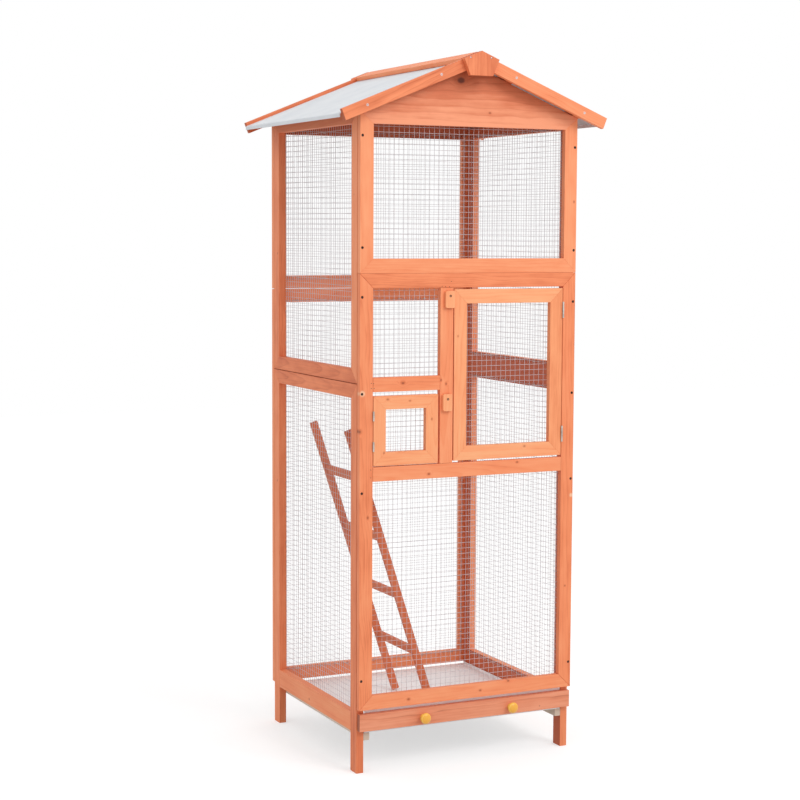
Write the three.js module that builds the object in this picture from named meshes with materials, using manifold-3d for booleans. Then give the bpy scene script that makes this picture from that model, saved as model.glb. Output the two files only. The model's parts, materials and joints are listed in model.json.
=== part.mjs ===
// A free-standing wooden bird cage (outdoor aviary) with a gabled roof, two wire doors,
// a pull-out drawer and a ladder. Millimetres, +Z up, the front faces -Y, and the
// origin lies on the ground under the middle of the cage.
import * as THREE from "three";
import { mergeVertices } from "three/addons/utils/BufferGeometryUtils.js";
import Module from "manifold-3d";

// Overall: 680 mm over the eaves, 630 mm deep over the keystones and 1650 mm high
const roofPitch = THREE.MathUtils.degToRad(22);
const bodyWidth = 560; // walls, along X
const bodyDepth = 537; // walls, along Y
const eaveOverhang = 60;
const gableOverhang = 46.5;
const clearance = 0.3; // between two pieces that touch

// Lumber of the wall frames
const lumberWidth = 33;
const faceFrameThickness = 14; // front and back frames, and the doors
const sideFrameThickness = 18;
const sideSillWidth = 44; // bottom rail of each side

// Levels of the walls
const frontBottom = 150; // lower edge of the lower front frame, above the drawer
const lowerOpeningHeight = 494.5;
const smallDoorHeight = 159.5;
const windowHeight = 201.5;
const upperOpeningHeight = 300.2; // front
const backBottom = 100;
const sideSillBottom = 94;
const sideFrameHeight = 899; // lower side frames, on their legs
const faceHeadWidth = 27; // board over the upper openings at the wall's corner, front and back
const sideHeadWidth = 25.5;
const mullionCentre = -61; // along X

// Wire net, drawn as a coarse lattice in one sheet
const netThickness = 1.6;
const netBar = 2;
const netPitch = 92;
const netOverlap = 10; // onto the frame behind which it is stapled

// Doors: the gaps round each, and the width of their members
const doorMember = 33;
const smallDoorMember = 31;
const hingeSideGap = 1.5;
const bigDoorLatchGap = 2.5;
const bigDoorTopGap = 4;
const bigDoorBottomGap = 5;
const smallDoorLatchGap = 4.5;
const smallDoorTopGap = 9.5;
const smallDoorBottomGap = 2;

// Hinges
const pinRadius = 2.2; // of the knuckles that hold the pin
const leafDepth = 12; // into the gap, behind the face
const bigHingeLength = 38;
const smallHingeLength = 22;
const bigHingeInset = 32; // door's end to the hinge's nearer end
const smallHingeInset = 34;

// Turn buttons
const buttonThickness = 8;
const buttonWidth = 24;
const buttonShortEnd = 12; // from the screw
const buttonLongEnd = 28;
const bigButtonBeside = 14; // screw to the big door's edge
const bigButtonBelow = 15; // screw to the big door's top
const smallButtonBelow = 12; // screw to the small door's top

// Roof
const ridgeBoardThickness = 10;
const ridgeBoardWidth = 45;
const sheetThickness = 1.5;
const eaveLip = 9;
const purlinThickness = 13;
const purlinWidth = 20;
const ridgePurlinOffset = 96; // from the middle of the cage
const eavePurlinInset = 2; // purlin's centre line inside the wall's outer face
const fasciaWidth = 27;
const fasciaThickness = 12;
const fasciaRise = 8; // above the sheet
const keystoneThickness = 12;
const keystoneTopHalf = 45;
const keystoneBottomHalf = 29;
const keystoneHeight = 56;

// Drawer
const drawerFrontInset = 2; // from each side of the walls
const drawerFrontHeight = 40;
const drawerFrontGap = 9.5; // under the front frame
const trayThickness = 1.2;
const traySideGap = 1.5; // to the legs
const trayLip = 6;
const trayFrontLip = 53;
const trayRearGap = 4; // to the rear frame
const runnerWidth = 15;
const runnerHeight = 18;
const knobSpacing = 231;
const knobDrop = 2.5; // knob's centre under the middle of the drawer front
const knobRadius = 13;
const knobLength = 20;
const knobNeckRadius = 6.5;
const knobNeckLength = 7;

// Ladder
const ladderLength = 719;
const ladderWidth = 217;
const ladderCentre = -35; // along Y
const ladderLean = THREE.MathUtils.degToRad(18.1);
const ladderRailWidth = 18;
const ladderRailThickness = 10;
const rungHeight = 20;
const rungThickness = 9;
const rungPitch = 148;
const firstRung = 152.5; // foot of the rail to the middle of the first rung
const rungCount = 4;

// Faces that the pieces share
const wallX = bodyWidth / 2;
const innerWallX = wallX - sideFrameThickness;
const faceY = bodyDepth / 2;
const innerFaceY = faceY - faceFrameThickness;
const sideEndY = innerFaceY - clearance;
const openingX = wallX - lumberWidth; // edge of a front or back opening
const openingY = sideEndY - lumberWidth; // edge of a side opening
const doorSillTop = frontBottom + lumberWidth + lowerOpeningHeight + lumberWidth;
const windowRailTop = doorSillTop + smallDoorBottomGap + smallDoorHeight + smallDoorTopGap + lumberWidth;
const frontSeam = windowRailTop + windowHeight + lumberWidth; // between the lower and upper frames
const backSeam = backBottom + frontSeam - frontBottom;
const wallTop = frontSeam + clearance + lumberWidth + upperOpeningHeight + faceHeadWidth;
const mullionLeft = mullionCentre - lumberWidth / 2;
const mullionRight = mullionCentre + lumberWidth / 2;
const trayFloor = sideSillBottom + clearance; // underside of the tray, on its runners

// Depths of the roof's layers under the ridge boards' top, square to the slope
const sheetTopDepth = ridgeBoardThickness + clearance;
const sheetUnderDepth = sheetTopDepth + sheetThickness;
const purlinTopDepth = sheetUnderDepth + clearance;
const gableDepth = purlinTopDepth + purlinThickness + clearance;
const fasciaTopDepth = sheetTopDepth - fasciaRise;
const ridgeTop = wallTop + wallX * Math.tan(roofPitch) + gableDepth / Math.cos(roofPitch);
const slopeZ = (x, depth) => ridgeTop - Math.abs(x) * Math.tan(roofPitch) - depth / Math.cos(roofPitch);
const roofFaceY = faceY + gableOverhang;
const fasciaFace = roofFaceY - keystoneThickness - clearance;
const roofEndY = fasciaFace - fasciaThickness - clearance; // ends of sheets, purlins and ridge boards

// Materials
const stained = (name, colour) =>
  new THREE.MeshStandardMaterial({ name, color: colour, roughness: 0.6, metalness: 0 });
const frameWood = () => stained("stained_fir", 0xd98254);
const doorWood = () => stained("stained_fir_light", 0xe6a066);
const rawWood = () => stained("raw_fir", 0xd8bd98);
const knobWood = () => stained("lacquered_knob", 0xf0b048);
const metal = (name, colour, roughness) =>
  new THREE.MeshStandardMaterial({ name, color: colour, roughness, metalness: 1 });
const netSteel = () => metal("galvanised_wire", 0xc8c8c4, 0.45);
const traySteel = () => metal("galvanised_sheet", 0xd6d8d8, 0.5);
const hingeSteel = () => metal("zinc_hinge", 0x9a948a, 0.4);
const roofFinish = () =>
  new THREE.MeshStandardMaterial({ name: "roof_sheet", color: 0xdfe2e4, roughness: 0.55, metalness: 0 });

const wasm = await Module();
wasm.setup();
const model = new THREE.Group();

// Adds one named piece to a parent.
function piece(name, geometry, material, parent = model) {
  const mesh = new THREE.Mesh(geometry, material);
  mesh.name = name;
  parent.add(mesh);
  return mesh;
}

// A board or plate between two corners.
function block([x0, y0, z0], [x1, y1, z1]) {
  return new THREE.BoxGeometry(x1 - x0, y1 - y0, z1 - z0)
    .translate((x0 + x1) / 2, (y0 + y1) / 2, (z0 + z1) / 2);
}

// The same geometry as a closed body that booleans can use.
function solid(geometry) {
  const bare = geometry.clone();
  bare.deleteAttribute("normal");
  bare.deleteAttribute("uv");
  const merged = mergeVertices(bare);
  return new wasm.Manifold(new wasm.Mesh({
    numProp: 3,
    vertProperties: merged.attributes.position.array,
    triVerts: Uint32Array.from(merged.index.array),
  }));
}

function geometryOf(body) {
  const mesh = body.getMesh();
  const geometry = new THREE.BufferGeometry();
  geometry.setAttribute("position", new THREE.BufferAttribute(mesh.vertProperties, mesh.numProp));
  geometry.setIndex(new THREE.BufferAttribute(mesh.triVerts, 1));
  const faceted = geometry.toNonIndexed();
  faceted.computeVertexNormals();
  return faceted;
}

// Several overlapping geometries as one closed body.
function joined(geometries) {
  return geometryOf(geometries.map(solid).reduce((whole, part) => whole.add(part)));
}

function rectangle(u0, u1, v0, v1) {
  return [[u0, v0], [u1, v0], [u1, v1], [u0, v1]];
}

function extrude(shape, depth) {
  return new THREE.ExtrudeGeometry(shape, { depth, bevelEnabled: false, curveSegments: 12 });
}

// A flat plate from its corner points, with rectangular holes through it.
function plate(points, thickness, holes) {
  const blank = extrude(new THREE.Shape(points.map(([u, v]) => new THREE.Vector2(u, v))), thickness);
  if (holes.length === 0) return blank;
  const cutters = holes.map(([u0, u1, v0, v1]) =>
    solid(block([u0, v0, -clearance], [u1, v1, thickness + clearance])));
  return geometryOf(cutters.reduce((body, cutter) => body.subtract(cutter), solid(blank)));
}

// A plate drawn in X and Z, from its front face back along +Y.
function facePlate(points, frontY, thickness, holes = []) {
  const basis = new THREE.Matrix4().makeBasis(
    new THREE.Vector3(1, 0, 0), new THREE.Vector3(0, 0, 1), new THREE.Vector3(0, -1, 0));
  return plate(points, thickness, holes).applyMatrix4(basis).translate(0, frontY + thickness, 0);
}

// A plate drawn in Y and Z, from its left face along +X.
function sidePlate(points, leftX, thickness, holes = []) {
  const basis = new THREE.Matrix4().makeBasis(
    new THREE.Vector3(0, 1, 0), new THREE.Vector3(0, 0, 1), new THREE.Vector3(1, 0, 0));
  return plate(points, thickness, holes).applyMatrix4(basis).translate(leftX, 0, 0);
}

// A net over an opening: its corner points, and the near-square gaps between its bars.
function netLayout([u0, u1, v0, v1]) {
  const [left, right, low, high] = [u0 - netOverlap, u1 + netOverlap, v0 - netOverlap, v1 + netOverlap];
  const columns = Math.max(1, Math.round((right - left) / netPitch));
  const rows = Math.max(1, Math.round((high - low) / netPitch));
  const cellU = (right - left - netBar) / columns;
  const cellV = (high - low - netBar) / rows;
  const holes = [];
  for (let i = 0; i < columns; i++) {
    for (let j = 0; j < rows; j++) {
      const u = left + netBar + i * cellU;
      const v = low + netBar + j * cellV;
      holes.push([u, u + cellU - netBar, v, v + cellV - netBar]);
    }
  }
  return { corners: rectangle(left, right, low, high), holes };
}

// A net behind the front frames or in front of the back ones.
function faceNet(name, opening, front) {
  const near = innerFaceY - clearance;
  const frontY = front ? -near : near - netThickness;
  const { corners, holes } = netLayout(opening);
  piece(name, facePlate(corners, frontY, netThickness, holes), netSteel());
}

function buildFrontLowerFrame() {
  const mitre = clearance * Math.SQRT2;
  const railTop = frontSeam - lumberWidth;
  const railBottom = frontBottom + lumberWidth;
  const board = (name, points) =>
    piece(name, facePlate(points, -faceY, faceFrameThickness), frameWood());
  const stile = (name, side) =>
    board(name, [[side * wallX, frontBottom], [side * openingX, railBottom],
      [side * openingX, railTop], [side * wallX, frontSeam]]);
  stile("front_lower_stile_left", -1);
  stile("front_lower_stile_right", 1);
  board("front_lower_top_rail", [[-wallX + mitre, frontSeam], [-openingX + mitre, railTop],
    [openingX - mitre, railTop], [wallX - mitre, frontSeam]]);
  board("front_lower_bottom_rail", [[-wallX + mitre, frontBottom], [-openingX + mitre, railBottom],
    [openingX - mitre, railBottom], [wallX - mitre, frontBottom]]);
  board("front_mullion",
    rectangle(mullionLeft, mullionRight, doorSillTop + clearance, railTop - clearance));
  board("front_window_rail", rectangle(-openingX + clearance, mullionLeft - clearance,
    windowRailTop - lumberWidth, windowRailTop));
  board("front_door_sill_rail", rectangle(-openingX + clearance, openingX - clearance,
    doorSillTop - lumberWidth, doorSillTop));
  faceNet("front_window_net", [-openingX, mullionLeft, windowRailTop, railTop], true);
  faceNet("front_lower_net", [-openingX, openingX, railBottom, doorSillTop - lumberWidth], true);
}

// An upper front or back frame, whose top member is the gable board.
function buildGableFrame(side, seam, front) {
  const bottom = seam + clearance;
  const opening = [-openingX, openingX, bottom + lumberWidth, wallTop - faceHeadWidth];
  const gable = [[-wallX, bottom], [wallX, bottom], [wallX, wallTop],
    [0, slopeZ(0, gableDepth)], [-wallX, wallTop]];
  const frontY = front ? -faceY : innerFaceY;
  piece(side + "_upper_frame", facePlate(gable, frontY, faceFrameThickness, [opening]), frameWood());
  faceNet(side + "_upper_net", opening, front);
}

function buildBackLowerFrame() {
  const opening = [-openingX, openingX, backBottom + lumberWidth, backSeam - lumberWidth];
  const corners = rectangle(-wallX, wallX, backBottom, backSeam);
  piece("back_lower_frame", facePlate(corners, innerFaceY, faceFrameThickness, [opening]), frameWood());
  faceNet("back_lower_net", opening, false);
}

// The two frames of one side; the lower one stands on its legs.
function buildSide(side, sign) {
  const sillTop = sideSillBottom + sideSillWidth;
  const lowerOpening = [-openingY, openingY, sillTop, sideFrameHeight - lumberWidth];
  const legs = [[-sideEndY, 0], [-openingY, 0], [-openingY, sideSillBottom], [openingY, sideSillBottom],
    [openingY, 0], [sideEndY, 0], [sideEndY, sideFrameHeight], [-sideEndY, sideFrameHeight]];
  const upperBottom = sideFrameHeight + clearance;
  const upperOpening = [-openingY, openingY, upperBottom + lumberWidth, wallTop - sideHeadWidth];
  const upper = rectangle(-sideEndY, sideEndY, upperBottom, wallTop);
  const frameX = sign < 0 ? -wallX : innerWallX;
  const netX = sign < 0 ? -innerWallX + clearance : innerWallX - clearance - netThickness;
  const panel = (level, corners, opening) => {
    const name = side + "_" + level;
    piece(name + "_frame", sidePlate(corners, frameX, sideFrameThickness, [opening]), frameWood());
    const net = netLayout(opening);
    piece(name + "_net", sidePlate(net.corners, netX, netThickness, net.holes), netSteel());
  };
  panel("lower", legs, lowerOpening);
  panel("upper", upper, upperOpening);
}

// The knuckles and the leaf that is screwed to the frame, drawn from above.
function hingeShape(side) {
  const knuckleX = side * (openingX - hingeSideGap / 2);
  const knuckleY = -faceY - pinRadius - clearance;
  const leafThickness = hingeSideGap - 2 * clearance;
  const leafInner = knuckleX - leafThickness / 2;
  const leafOuter = knuckleX + leafThickness / 2;
  const half = Math.asin(leafThickness / 2 / pinRadius);
  const shape = new THREE.Shape();
  shape.moveTo(leafOuter, -faceY + leafDepth);
  shape.lineTo(leafInner, -faceY + leafDepth);
  shape.absarc(knuckleX, knuckleY, pinRadius, Math.PI / 2 + half, Math.PI * 5 / 2 - half, false);
  return shape;
}

// A door in its opening: frame, net and two hinges.
function buildDoor(name, opening, member, side, hinge) {
  const [x0, x1, z0, z1] = opening;
  const window = [x0 + member, x1 - member, z0 + member, z1 - member];
  const corners = rectangle(x0, x1, z0, z1);
  piece(name + "_frame", facePlate(corners, -faceY, faceFrameThickness, [window]), doorWood());
  faceNet(name + "_net", window, true);
  const places = { upper: z1 - hinge.inset - hinge.length, lower: z0 + hinge.inset };
  for (const [place, z] of Object.entries(places)) {
    const geometry = extrude(hingeShape(side), hinge.length).translate(0, 0, z);
    piece(name + "_hinge_" + place, geometry, hingeSteel());
  }
}

// A wooden turn button hanging down from its screw, with clipped corners.
function buildButton(name, screwX, screwZ) {
  const half = buttonWidth / 2;
  const clip = buttonWidth / 8;
  const points = [[-half, buttonShortEnd - clip], [-half, clip - buttonLongEnd],
    [clip - half, -buttonLongEnd], [half - clip, -buttonLongEnd],
    [half, clip - buttonLongEnd], [half, buttonShortEnd - clip],
    [half - clip, buttonShortEnd], [clip - half, buttonShortEnd]];
  const frontY = -faceY - clearance - buttonThickness;
  piece(name, facePlate(points, frontY, buttonThickness).translate(screwX, 0, screwZ), doorWood());
}

function buildDoors() {
  const bigRight = openingX - hingeSideGap;
  const bigLeft = mullionRight + bigDoorLatchGap;
  const bigTop = frontSeam - lumberWidth - bigDoorTopGap;
  const smallBottom = doorSillTop + smallDoorBottomGap;
  const smallTop = smallBottom + smallDoorHeight;
  buildDoor("big_door", [bigLeft, bigRight, doorSillTop + bigDoorBottomGap, bigTop], doorMember, 1,
    { length: bigHingeLength, inset: bigHingeInset });
  buildDoor("small_door", [-bigRight, mullionLeft - smallDoorLatchGap, smallBottom, smallTop],
    smallDoorMember, -1, { length: smallHingeLength, inset: smallHingeInset });
  buildButton("big_door_button", bigLeft - bigButtonBeside, bigTop - bigButtonBelow);
  buildButton("small_door_button", mullionCentre, smallTop - smallButtonBelow);
}

// One slope: x is measured from the ridge towards the eave.
function buildSlope(side, sign) {
  const slope = (x, depth) => [sign * x, slopeZ(x, depth)];
  const eave = wallX + eaveOverhang;
  const run = Math.cos(roofPitch);
  const rise = Math.sin(roofPitch);
  const along = (name, points, material) =>
    piece(name, facePlate(points, -roofEndY, 2 * roofEndY), material);

  const lipInner = slope(eave - sheetThickness, sheetUnderDepth);
  const lipBottom = slopeZ(eave, sheetTopDepth) - eaveLip;
  along("roof_sheet_" + side, [slope(clearance / 2, sheetTopDepth), slope(eave, sheetTopDepth),
    [sign * eave, lipBottom], [lipInner[0], lipBottom], lipInner,
    slope(clearance / 2, sheetUnderDepth)], roofFinish());

  // A bar with its top face at a depth under the ridge boards' top, square to the slope.
  const bar = (centre, depth, width, thickness) => {
    const inner = centre - (width / 2) * run;
    const top = slope(inner, depth);
    const down = [-sign * rise * thickness, -run * thickness];
    const out = [sign * run * width, -rise * width];
    return [top, [top[0] + out[0], top[1] + out[1]],
      [top[0] + out[0] + down[0], top[1] + out[1] + down[1]], [top[0] + down[0], top[1] + down[1]]];
  };
  const purlin = (name, centre) =>
    along(name + side, bar(centre, purlinTopDepth, purlinWidth, purlinThickness), frameWood());
  purlin("ridge_purlin_", ridgePurlinOffset);
  purlin("eave_purlin_", wallX - eavePurlinInset);
  const [boardX, boardZ] = slope(ridgeBoardWidth * run, 0);
  along("ridge_board_" + side, [slope(clearance / 2, 0), [boardX, boardZ],
    [boardX - sign * rise * ridgeBoardThickness, boardZ - run * ridgeBoardThickness],
    slope(clearance / 2, ridgeBoardThickness)], frameWood());

  // The fascias: a plumb cut at the ridge and a square end at the eave.
  const [endX, endZ] = slope(eave, fasciaTopDepth);
  const fascia = [slope(clearance / 2, fasciaTopDepth), [endX, endZ],
    [endX - sign * rise * fasciaWidth, endZ - run * fasciaWidth],
    slope(clearance / 2, fasciaTopDepth + fasciaWidth)];
  const board = (name, frontY) =>
    piece(name + side, facePlate(fascia, frontY, fasciaThickness), frameWood());
  board("fascia_front_", -fasciaFace);
  board("fascia_back_", fasciaFace - fasciaThickness);
}

function buildKeystones() {
  const bottom = ridgeTop - keystoneHeight;
  const shoulder = slopeZ(keystoneTopHalf, 0);
  const corners = [[-keystoneBottomHalf, bottom], [keystoneBottomHalf, bottom],
    [keystoneTopHalf, shoulder], [0, ridgeTop], [-keystoneTopHalf, shoulder]];
  const board = (name, frontY) =>
    piece(name, facePlate(corners, frontY, keystoneThickness), frameWood());
  board("keystone_front", -roofFaceY);
  board("keystone_back", roofFaceY - keystoneThickness);
}

// A turned knob that points forward from the drawer front.
function knobGeometry() {
  const flare = Math.sqrt(1 - (knobNeckRadius / knobRadius) ** 2);
  const bulge = (knobLength - knobNeckLength) / (1 + flare);
  const from = -Math.acos(knobNeckRadius / knobRadius);
  const steps = 7;
  const base = knobLength - bulge;
  const profile = [new THREE.Vector2(0, 0), new THREE.Vector2(knobNeckRadius, 0)];
  for (let i = 0; i < steps; i++) {
    const angle = from + ((Math.PI / 2 - from) * i) / steps;
    profile.push(new THREE.Vector2(knobRadius * Math.cos(angle), base + bulge * Math.sin(angle)));
  }
  profile.push(new THREE.Vector2(0, knobLength));
  return new THREE.LatheGeometry(profile, 20).rotateX(Math.PI);
}

// The drawer: its front, two knobs, and a sheet tray that slides on two runners. The tray
// has a lip at each side and at the front, and none at the back, so it passes under the ladder.
function buildDrawer() {
  const frontTop = frontBottom - drawerFrontGap;
  const frontMiddle = frontTop - drawerFrontHeight / 2;
  const half = wallX - drawerFrontInset;
  piece("drawer_front",
    block([-half, -faceY, frontTop - drawerFrontHeight], [half, -innerFaceY, frontTop]), frameWood());

  const x = innerWallX - traySideGap;
  const front = -innerFaceY + clearance;
  const back = innerFaceY - trayRearGap;
  const lipTop = trayFloor + trayLip;
  piece("tray", joined([
    block([-x, front, trayFloor], [x, back, trayFloor + trayThickness]),
    block([-x, front, trayFloor], [trayThickness - x, back, lipTop]),
    block([x - trayThickness, front, trayFloor], [x, back, lipTop]),
    block([-x, front, trayFloor], [x, front + trayThickness, trayFloor + trayFrontLip]),
  ]), traySteel());

  for (const [side, sign] of [["left", -1], ["right", 1]]) {
    const edges = [sign * (innerWallX - clearance), sign * (innerWallX - clearance - runnerWidth)];
    piece("runner_" + side, block([Math.min(...edges), -sideEndY, sideSillBottom - runnerHeight],
      [Math.max(...edges), sideEndY, sideSillBottom]), rawWood());
    const knob = piece("drawer_knob_" + side, knobGeometry(), knobWood());
    knob.position.set((sign * knobSpacing) / 2, -faceY - clearance, frontMiddle - knobDrop);
  }
}

// The ladder leans on the left net and stands on the lower corner of its rails' feet.
function buildLadder() {
  const ladder = new THREE.Group();
  const netFace = -innerWallX + clearance + netThickness;
  ladder.position.set(netFace + clearance + ladderLength * Math.sin(ladderLean), ladderCentre,
    trayFloor + trayThickness + clearance);
  ladder.rotation.y = -ladderLean;
  model.add(ladder);

  const outer = ladderWidth / 2;
  const inner = outer - ladderRailThickness;
  const rail = (name, y0, y1) =>
    piece(name, block([0, y0, 0], [ladderRailWidth, y1, ladderLength]), frameWood(), ladder);
  rail("ladder_rail_front", -outer, -inner);
  rail("ladder_rail_rear", inner, outer);
  const rungX = (ladderRailWidth - rungThickness) / 2;
  const rungY = inner - clearance;
  for (let i = 0; i < rungCount; i++) {
    const z = firstRung + i * rungPitch - rungHeight / 2;
    piece("ladder_rung_" + (i + 1),
      block([rungX, -rungY, z], [rungX + rungThickness, rungY, z + rungHeight]), frameWood(), ladder);
  }
}

buildFrontLowerFrame();
buildGableFrame("front", frontSeam, true);
buildGableFrame("back", backSeam, false);
buildBackLowerFrame();
buildSide("left", -1);
buildSide("right", 1);
buildDoors();
buildSlope("left", -1);
buildSlope("right", 1);
buildKeystones();
buildDrawer();
buildLadder();

export default model;
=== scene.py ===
# Looks of a free-standing wooden bird cage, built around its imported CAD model.
# Metres, +Z up, the front faces -Y.
import json
import math
import random

import bmesh
import bpy
from mathutils import Matrix, Vector, noise
from mathutils.geometry import convex_hull_2d


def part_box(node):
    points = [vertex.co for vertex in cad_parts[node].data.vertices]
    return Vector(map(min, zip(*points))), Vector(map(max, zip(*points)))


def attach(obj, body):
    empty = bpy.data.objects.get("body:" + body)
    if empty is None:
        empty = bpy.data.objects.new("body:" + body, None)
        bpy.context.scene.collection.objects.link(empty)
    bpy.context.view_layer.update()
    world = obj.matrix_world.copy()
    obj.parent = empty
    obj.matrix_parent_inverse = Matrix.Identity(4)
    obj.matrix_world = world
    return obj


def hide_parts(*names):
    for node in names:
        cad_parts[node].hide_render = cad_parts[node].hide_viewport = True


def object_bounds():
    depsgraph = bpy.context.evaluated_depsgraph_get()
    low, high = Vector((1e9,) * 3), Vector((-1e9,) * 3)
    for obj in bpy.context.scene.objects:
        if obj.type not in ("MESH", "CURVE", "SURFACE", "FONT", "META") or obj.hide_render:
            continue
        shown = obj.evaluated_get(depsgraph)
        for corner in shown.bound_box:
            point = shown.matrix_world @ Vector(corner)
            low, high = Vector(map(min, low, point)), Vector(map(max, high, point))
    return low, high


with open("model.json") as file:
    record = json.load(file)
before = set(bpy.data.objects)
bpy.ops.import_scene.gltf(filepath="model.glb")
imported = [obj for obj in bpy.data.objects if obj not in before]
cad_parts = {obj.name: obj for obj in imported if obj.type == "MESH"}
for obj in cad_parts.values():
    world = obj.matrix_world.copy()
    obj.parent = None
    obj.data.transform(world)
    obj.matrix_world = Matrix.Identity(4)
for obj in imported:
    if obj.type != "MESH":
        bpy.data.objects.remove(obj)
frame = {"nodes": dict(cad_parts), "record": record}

CAD_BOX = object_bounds()
MM = 0.001
X, Y, Z = Vector((1, 0, 0)), Vector((0, 1, 0)), Vector((0, 0, 1))
PLANES = {"xz": (X, Z, Y), "yz": (Y, Z, X), "xy": (X, Y, Z)}
HANDS = (("left", -1), ("right", 1))

# Boards
SILL_WIDTH = 44 * MM
NET_OVERLAP = 10 * MM  # a net reaches this far onto its frame
BEVEL = 0.8 * MM
MITRE_BEVEL = 0.4 * MM
SEAM_WIDTH = 1.5 * MM  # of the open joints of the side walls
SEAM_DEPTH = 14 * MM
BACK_GAP = 1.2 * MM  # between the back's two frames
JOINT_GAP = 0.1 * MM  # between two boards of one frame
SAME_POINT = 0.05 * MM
STRAIGHT = 0.003  # sine of the turn that is still no corner of an outline
PARALLEL = 0.9  # cosine from which two ways count as one
CUT_OVERRUN = 0.5 * MM

# Wire net
WIRE_RADIUS = 0.4 * MM
WIRE_LAYER = 0.34 * MM  # of each layer of wires from the net's middle
WIRE_PITCH = 12.7 * MM
WIRE_SIDES = 6
WIRE_STEP = 38 * MM  # between two rings of a wire
WIRE_WANDER = 0.12 * MM  # sideways, along a wire
WANDER_RATE = 9  # waves per metre
NET_WARP = 0.9 * MM  # sideways, of neighbouring wires together
WARP_RATE = 5
WARP_SEED = 7
STAPLE_LENGTH = 9 * MM
STAPLE_WIDTH = 1.1 * MM
STAPLE_HEIGHT = 0.5 * MM
STAPLE_BEVEL = 0.15 * MM
STAPLE_PITCH = 78 * MM
STAPLE_WANDER = 9  # mm, along the edge

# Screws and nails
SCREW_RADIUS = 3.3 * MM
SCREW_HOLE_DEPTH = 1.9 * MM
SCREW_INSET = 6 * MM  # from a wall's outer edge: they go into the side frames
SCREW_SINK = 0.7 * MM  # of a wall screw's face
SCREW_PROUD = 0.1 * MM  # of a fascia screw's face
BUTTON_SCREW_PROUD = 0.2 * MM
HEAD_RADIUS = 2.9 * MM
SLOT_REACH, SLOT_HALF, SLOT_DEPTH = 0.62 * HEAD_RADIUS, 0.4 * MM, 0.8 * MM
NAIL_RADIUS = 0.9 * MM
KEYSTONE_NAIL_RADIUS = 1.7 * MM
KEYSTONE_NAIL_SINK = 0.11 * MM
DENT_RADIUS = 2.2 * MM
DENT_DEPTH = 0.4 * MM
SCREW_SIDES, NAIL_SIDES = 24, 16
# Screws up the stiles of the front: heights on the left and on the right
STILE_SCREWS = ((1456, 1207, 1096, 878, 652, 219), (1442, 1201, 1080, 863, 657, 211))
FASCIA_SCREWS = (96, 278)  # from the middle
KEYSTONE_NAILS = ((-29, 1634), (24, 1635))
# Nails of the front's rails
RAIL_NAILS = ((-74, 1119), (-65, 1118), (-55, 1118), (-50, 1130), (-251, 902), (-245, 901),
              (-251, 890), (-244, 890), (-252, 705), (-252, 687))

# Hinges, tray, roof sheets and knobs
KNUCKLES = 5
KNUCKLE_GAP = 0.15 * MM
KNUCKLE_BEVEL = 0.25 * MM
KNUCKLE_SIDES = 24
LEAF_THICK = 0.6 * MM
LEAF_GAP = 0.08 * MM  # of each leaf from the plane between them
LEAF_BEVEL = 0.12 * MM
LEAF_SCREWS = (0.2, 0.5, 0.8)  # up the leaf, as shares of its height
LEAF_SCREW_RADIUS = 1.9 * MM
LEAF_SCREW_GAP = 0.06 * MM
TRAY_SHEET = 1.2 * MM
TRAY_LIP = 6 * MM  # of its left and right edges
TRAY_BEVEL = 0.3 * MM
EAVE_RADIUS = 5 * MM
EAVE_STEPS = 8
KNOB_SIDES = 40
KNOB_STEPS = 14
KNOB_NECK = 7 * MM  # of its length, foot and all
KNOB_BALL = 1.86  # half heights of the ball that stand over the neck

# Knots that show, by board: two places in the board's plane and a radius, all in
# millimetres. A negative radius is a chip in the stain; an empty list is a clear board.
KNOTS = {
    "front_window_rail": [(-172, 900, 2.6)],
    "front_mullion": [(-62, 895, 1.9), (-75, 904, 1.7)],
    "front_door_sill_rail": [(-105, 688, 2.3), (127, 704, 1.9)],
    "front_lower_stile_left": [(-279, 793, 2.4), (-259, 596, 2.2), (-274, 879, -9)],
    "front_lower_stile_right": [(281, 978, 1.5), (262, 398, 1.3), (275, 617, -6)],
    "front_lower_bottom_rail": [(-154, 165, 2.3), (34, 166, 1.9), (109, 181, 1.9)],
    "front_lower_top_rail": [],
    "small_door_framet": [(-210, 864, 2.1), (-154, 859, 1.7)],
    "small_door_framer": [(-98, 815, 1.8)],
    "small_door_framel": [(-219, 742, 1.8)],
    "small_door_frameb": [],
    "big_door_frameb": [(146, 741, 1.9)],
    "big_door_framet": [],
    "big_door_framel": [(-32, 1004, 1.4)],
    "big_door_framer": [],
    "front_upper_framegable": [(-29, 1586, 7.0), (46, 1515, 1.6)],
    "front_upper_framer": [(273, 1315, 1.6)],
    "front_upper_framel": [],
    "front_upper_frameb": [],
}
# How much darker than its like a board is drawn, as a share of the whole range: mostly its own
# tone, and painted shade on the back-left fascia, the left side frames and the front gable board
TONES_AND_SHADE = {
    "front_upper_framegable": 0.16,
    "front_lower_bottom_rail": 0.02,
    "front_lower_top_rail": 0.27,
    "front_window_rail": 0.14,
    "front_lower_stile_left": 0.14,
    "front_lower_stile_right": 0.18,
    "front_upper_framel": -0.04,
    "front_upper_framer": -0.08,
    "front_upper_frameb": -0.08,
    "keystone_front": 0.3,
    "fascia_front_left": 0.24,
    "fascia_back_left": 0.42,
    "left_lower_framet": 0.3,
    "left_lower_framel": 0.28,
    "left_lower_framer": 0.18,
    "left_upper_framer": 0.24,
    "left_upper_frameb": 0.32,
    "big_door_framer": 0.3,
    "big_door_framet": -0.08,
    "big_door_framel": 0.02,
}
# Painted shade: the gable boards are drawn darker towards the ridge, under the roof's overhang
GABLE_SHADE_FADE = 0.5  # a gable board is darker towards the ridge
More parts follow.
